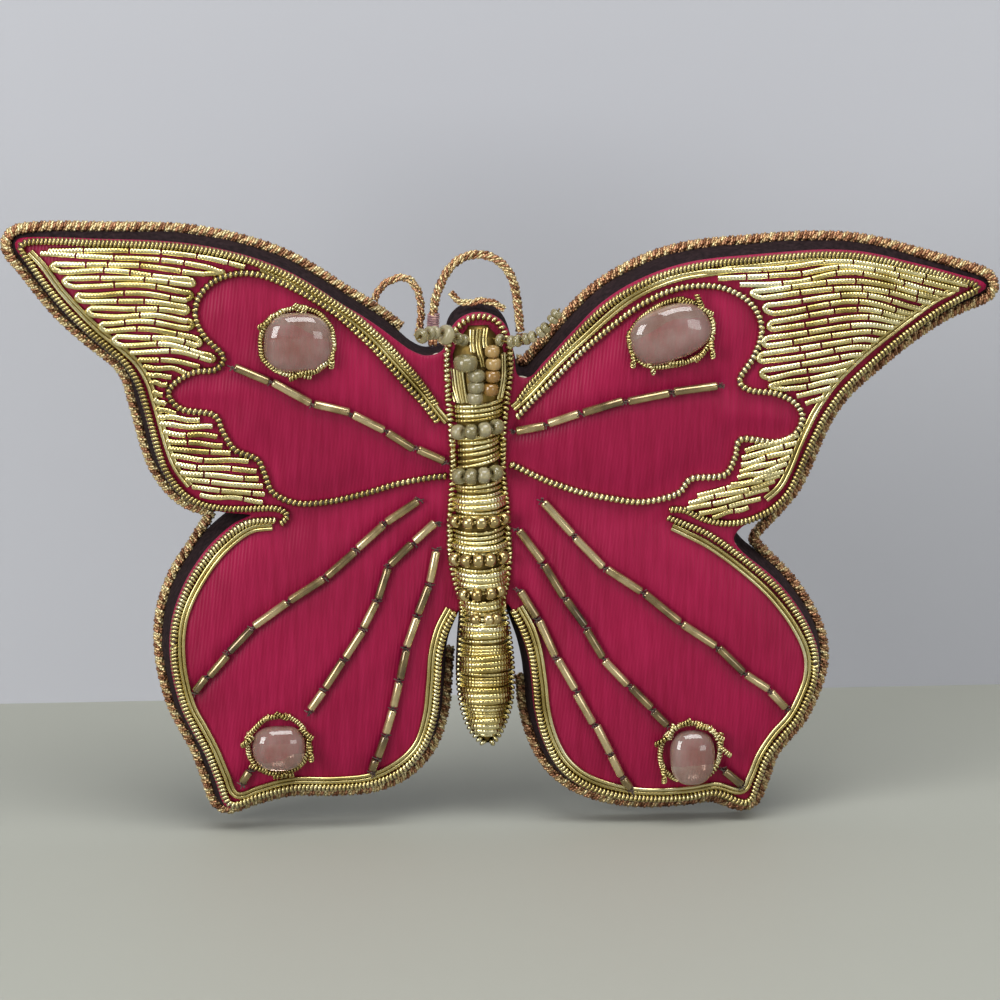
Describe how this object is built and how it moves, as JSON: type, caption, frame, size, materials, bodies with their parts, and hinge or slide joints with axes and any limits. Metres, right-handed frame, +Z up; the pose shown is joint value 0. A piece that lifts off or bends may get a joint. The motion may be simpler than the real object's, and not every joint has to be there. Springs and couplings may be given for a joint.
{
  "type": "butterfly hanging ornament",
  "caption": "Padded satin butterfly ornament worked in gilt purl, bugle beads and glass stones, hanging from a ring of gold cord.",
  "frame": {"origin": "inner top of the hanging ring, where a hook carries it", "axes": "+Z up, +X towards the right wing as the viewer sees it, -Y out of the embroidered front"},
  "size_m": [0.1524, 0.0142, 0.0942],
  "materials": {
    "satin": "glossy woven satin",
    "velvet": "short dark pile",
    "card": "uncoated grey board",
    "felt": "soft white wadding",
    "gilt_cloth": "worn gilt cloth",
    "gold_cord": "rosy gold thread, twisted",
    "thread": "dull wound thread",
    "gilt_purl": "pale gilt wire, coiled",
    "antenna_wire": "thin dull wire",
    "stone_glass": "clear smoky pink glass",
    "clear_glass": "clear glass",
    "amber_glass": "amber glass",
    "bugle_glass": "silver-lined smoky glass",
    "gilt_glass": "gilded glass"
  },
  "bodies": {
    "loop": {"hanging_loop": "gold_cord", "loop_whipping": "thread", "foot_knots": "gold_cord"},
    "butterfly": {"abdomen_bands": "gilt_purl", "abdomen_core": "felt", "abdomen_velvet": "velvet", "amber_beads": "amber_glass", "back_panel": "velvet", "body_cover": "gilt_cloth", "body_padding": "felt", "chest_bands": "gilt_purl", "collar_bands": "gilt_purl", "front_satin": "satin", "gilt_beads": "gilt_glass", "head_beads": "clear_glass", "head_coil": "gilt_purl", "head_cord": "thread", "head_threads": "gilt_purl", "left_body_coil": "gilt_purl", "left_cut_purl": "gilt_purl", "left_edge_braid": "gold_cord", "left_forewing_coil": "gilt_purl", "left_forewing_purl": "gilt_purl", "left_forewing_veins": "bugle_glass", "left_hindwing_coil": "gilt_purl", "left_hindwing_purl": "gilt_purl", "left_hindwing_veins": "bugle_glass", "left_lower_frame": "gilt_purl", "left_lower_stone": "stone_glass", "left_outer_purl": "gilt_purl", "left_scallop_coil": "gilt_purl", "left_upper_frame": "gilt_purl", "left_upper_stone": "stone_glass", "right_body_coil": "gilt_purl", "right_cut_purl": "gilt_purl", "right_edge_braid": "gold_cord", "right_forewing_coil": "gilt_purl", "right_forewing_purl": "gilt_purl", "right_forewing_veins": "bugle_glass", "right_hindwing_coil": "gilt_purl", "right_hindwing_purl": "gilt_purl", "right_hindwing_veins": "bugle_glass", "right_lower_frame": "gilt_purl", "right_lower_stone": "stone_glass", "right_outer_purl": "gilt_purl", "right_scallop_coil": "gilt_purl", "right_upper_frame": "gilt_purl", "right_upper_stone": "stone_glass", "side_gusset": "velvet", "slack_cord": "gold_cord", "stiffener_card": "card", "thorax_beads": "clear_glass", "waist_bands": "gilt_purl", "wing_wadding": "felt"},
    "left_antenna": {"left_antenna_wire": "antenna_wire", "left_antenna_beads": "gilt_glass"},
    "right_antenna": {"right_antenna_wire": "antenna_wire", "right_antenna_beads": "gilt_glass"}
  },
  "joints": [
    {"name": "loop_swing", "type": "hinge", "parent": "loop", "child": "butterfly", "pos_m": [-0.00013, 0, -0.01257], "axis": [1, 0, 0], "range_deg": [-38, 60]},
    {"name": "left_antenna_bend", "type": "hinge", "parent": "butterfly", "child": "left_antenna", "pos_m": [-0.00272, -0.00301, -0.01219], "axis": [1, 0, 0], "range_deg": [-20, 20]},
    {"name": "right_antenna_bend", "type": "hinge", "parent": "butterfly", "child": "right_antenna", "pos_m": [0.00106, -0.00233, -0.01188], "axis": [1, 0, 0], "range_deg": [-20, 20]}
  ]
}
